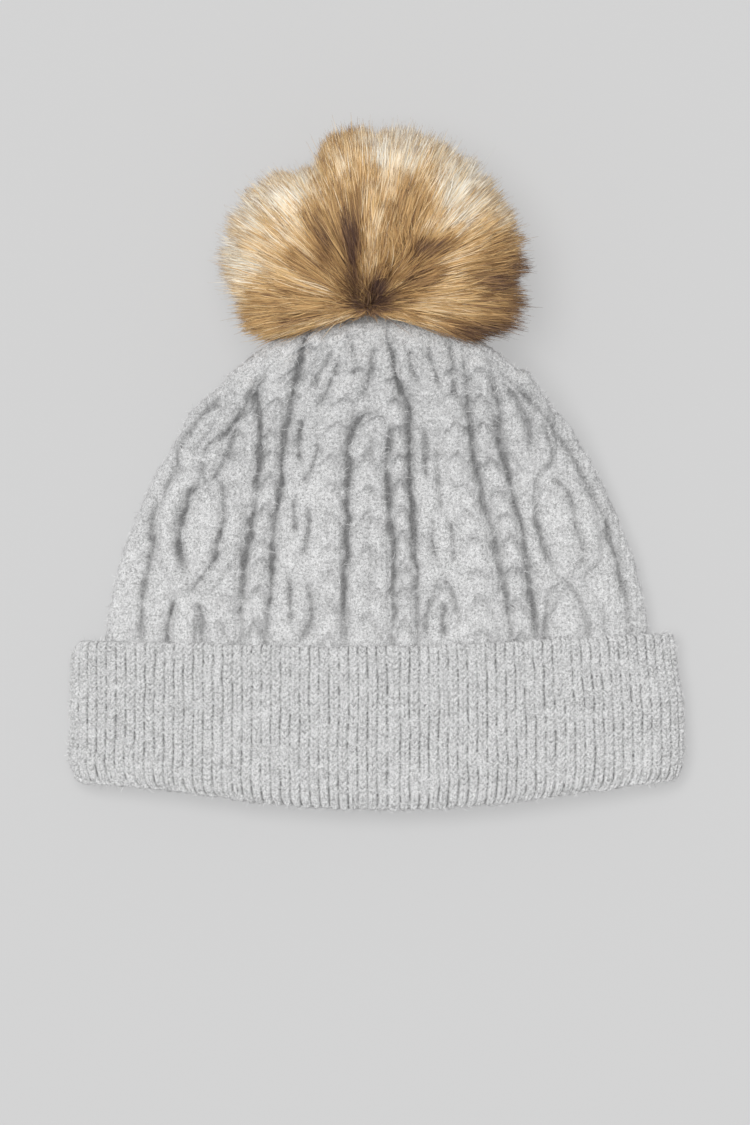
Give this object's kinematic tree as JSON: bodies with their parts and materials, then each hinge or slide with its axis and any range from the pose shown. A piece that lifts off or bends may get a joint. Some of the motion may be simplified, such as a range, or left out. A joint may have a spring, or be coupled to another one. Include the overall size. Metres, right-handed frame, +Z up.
{
  "type": "pom pom beanie",
  "caption": "Cable-knit beanie lying flat, with a turned-up ribbed cuff, a gathered crown and a large fur pom on a press stud that swivels and pulls off.",
  "frame": {"origin": "on the resting surface, under the middle of the whole object as it lies flat", "axes": "+Y from the cuff towards the pom, +Z up from the resting surface, +X across the hat"},
  "size_m": [0.239, 0.2666, 0.096],
  "materials": {
    "cable_knit": "brushed melange wool, soft halo",
    "rib_knit": "brushed melange wool rib",
    "thread": "plied yarn",
    "felt": "pressed felt",
    "snap_metal": "nickel plated, satin",
    "satin_label": "woven satin, blank",
    "fur_pile": "long glossy pile, dark root, golden middle, brown tip",
    "fur_backing": "knitted pile backing",
    "fibre_fill": "loose polyester fibre"
  },
  "bodies": {
    "hat": {"rib_cuff": "rib_knit", "crown": "cable_knit", "linking_seam": "thread", "crown_seam": "thread", "cuff_seam": "thread", "care_label": "satin_label", "label_tack_left": "thread", "label_tack_right": "thread", "crown_gather_thread": "thread", "crown_washer": "felt", "snap_post": "snap_metal", "snap_stud": "snap_metal"},
    "snap_ring": {"snap_ring": "snap_metal"},
    "pom": {"snap_socket": "snap_metal", "pom_base_disc": "felt", "snap_cap": "snap_metal", "pom_backing": "fur_backing", "pom_drawstring": "thread", "pom_stuffing": "fibre_fill", "pom_fur": "fur_pile"}
  },
  "joints": [
    {"name": "pom_pull_off", "type": "slide", "parent": "hat", "child": "snap_ring", "axis": [0, 1, 0], "range_m": [0, 0.06]},
    {"name": "pom_swivel", "type": "hinge", "parent": "snap_ring", "child": "pom", "pos_m": [0, 0.065, 0.048], "axis": [0, 1, 0], "continuous": true}
  ]
}
